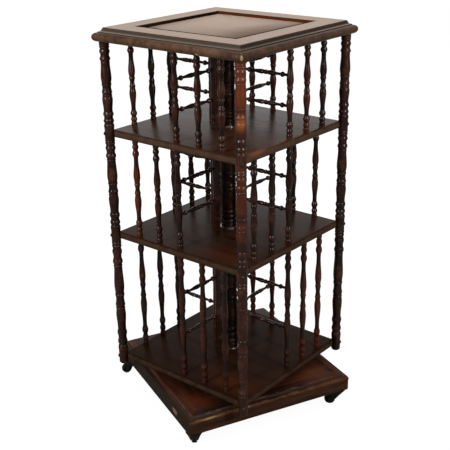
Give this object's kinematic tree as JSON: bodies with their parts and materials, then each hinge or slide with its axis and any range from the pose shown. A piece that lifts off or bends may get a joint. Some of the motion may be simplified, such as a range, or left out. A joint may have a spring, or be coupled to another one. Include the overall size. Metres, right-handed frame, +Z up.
{
  "type": "revolving media tower",
  "caption": "Square revolving tower of open shelves with turned corner posts and spindles, spinning on a central pole over a turned base board on swivel castors.",
  "frame": {"origin": "on the floor, on the vertical axis that the tower turns about", "axes": "+Z up along the pole; the front of the tower faces -Y and its right side +X; at rest the base stands turned 23.9 degrees clockwise seen from above, as in the picture"},
  "size_m": [0.6822, 0.6822, 1.11],
  "materials": {
    "top_wood": "polished dark mahogany, worn at the edges",
    "shelf_wood": "polished dark mahogany",
    "turned_wood": "dark polished turnings",
    "base_wood": "polished reddish mahogany, worn nosing",
    "iron": "blackened iron",
    "collar_metal": "bright flange",
    "bolt_brass": "tarnished brass",
    "castor_metal": "dark metal",
    "castor_wheel": "dark worn wheel"
  },
  "bodies": {
    "base": {"base_board": "base_wood", "base_apron": "base_wood", "corner_blocks": "base_wood", "pole": "iron", "pole_flange": "iron", "pole_nut": "iron", "castor_plates": "castor_metal"},
    "tower": {"top_board": "top_wood", "top_frame": "top_wood", "top_panel": "top_wood", "pivot_cup": "iron", "shelf_collars": "collar_metal", "post_bolts": "bolt_brass", "corner_post_front_right": "turned_wood", "corner_post_rear_right": "turned_wood", "corner_post_rear_left": "turned_wood", "corner_post_front_left": "turned_wood", "shelf_upper": "shelf_wood", "column_sleeve_upper": "turned_wood", "inner_posts_upper": "turned_wood", "divider_rails_upper": "turned_wood", "spindles_upper_front": "turned_wood", "spindles_upper_right": "turned_wood", "spindles_upper_rear": "turned_wood", "spindles_upper_left": "turned_wood", "shelf_middle": "shelf_wood", "column_sleeve_middle": "turned_wood", "inner_posts_middle": "turned_wood", "divider_rails_middle": "turned_wood", "spindles_middle_front": "turned_wood", "spindles_middle_right": "turned_wood", "spindles_middle_rear": "turned_wood", "spindles_middle_left": "turned_wood", "shelf_lower": "shelf_wood", "column_sleeve_lower": "turned_wood", "inner_posts_lower": "turned_wood", "divider_rails_lower": "turned_wood", "spindles_lower_front": "turned_wood", "spindles_lower_right": "turned_wood", "spindles_lower_rear": "turned_wood", "spindles_lower_left": "turned_wood"},
    "castor_front_right": {"castor_fork_front_right": "castor_metal", "castor_axle_front_right": "castor_metal"},
    "wheel_front_right": {"castor_wheel_front_right": "castor_wheel"},
    "castor_rear_right": {"castor_fork_rear_right": "castor_metal", "castor_axle_rear_right": "castor_metal"},
    "wheel_rear_right": {"castor_wheel_rear_right": "castor_wheel"},
    "castor_rear_left": {"castor_fork_rear_left": "castor_metal", "castor_axle_rear_left": "castor_metal"},
    "wheel_rear_left": {"castor_wheel_rear_left": "castor_wheel"},
    "castor_front_left": {"castor_fork_front_left": "castor_metal", "castor_axle_front_left": "castor_metal"},
    "wheel_front_left": {"castor_wheel_front_left": "castor_wheel"}
  },
  "joints": [
    {"name": "tower_spin", "type": "hinge", "parent": "base", "child": "tower", "pos_m": [0, 0, 1.066], "axis": [0, 0, 1], "continuous": true},
    {"name": "castor_front_right_swivel", "type": "hinge", "parent": "base", "child": "castor_front_right", "pos_m": [0.11964, -0.31006, 0.045], "axis": [0, 0, 1], "continuous": true},
    {"name": "castor_front_right_roll", "type": "hinge", "parent": "castor_front_right", "child": "wheel_front_right", "pos_m": [0.10509, -0.29356, 0.016], "axis": [-0.7501, -0.6613, 0], "continuous": true},
    {"name": "castor_rear_right_swivel", "type": "hinge", "parent": "base", "child": "castor_rear_right", "pos_m": [0.31006, 0.11964, 0.045], "axis": [0, 0, 1], "continuous": true},
    {"name": "castor_rear_right_roll", "type": "hinge", "parent": "castor_rear_right", "child": "wheel_rear_right", "pos_m": [0.2913, 0.10815, 0.016], "axis": [0.5225, -0.8526, 0], "continuous": true},
    {"name": "castor_rear_left_swivel", "type": "hinge", "parent": "base", "child": "castor_rear_left", "pos_m": [-0.11964, 0.31006, 0.045], "axis": [0, 0, 1], "continuous": true},
    {"name": "castor_rear_left_roll", "type": "hinge", "parent": "castor_rear_left", "child": "wheel_rear_left", "pos_m": [-0.13766, 0.29744, 0.016], "axis": [0.5736, -0.8192, 0], "continuous": true},
    {"name": "castor_front_left_swivel", "type": "hinge", "parent": "base", "child": "castor_front_left", "pos_m": [-0.31006, -0.11964, 0.045], "axis": [0, 0, 1], "continuous": true},
    {"name": "castor_front_left_roll", "type": "hinge", "parent": "castor_front_left", "child": "wheel_front_left", "pos_m": [-0.31493, -0.14109, 0.016], "axis": [0.9751, -0.2215, 0], "continuous": true}
  ]
}
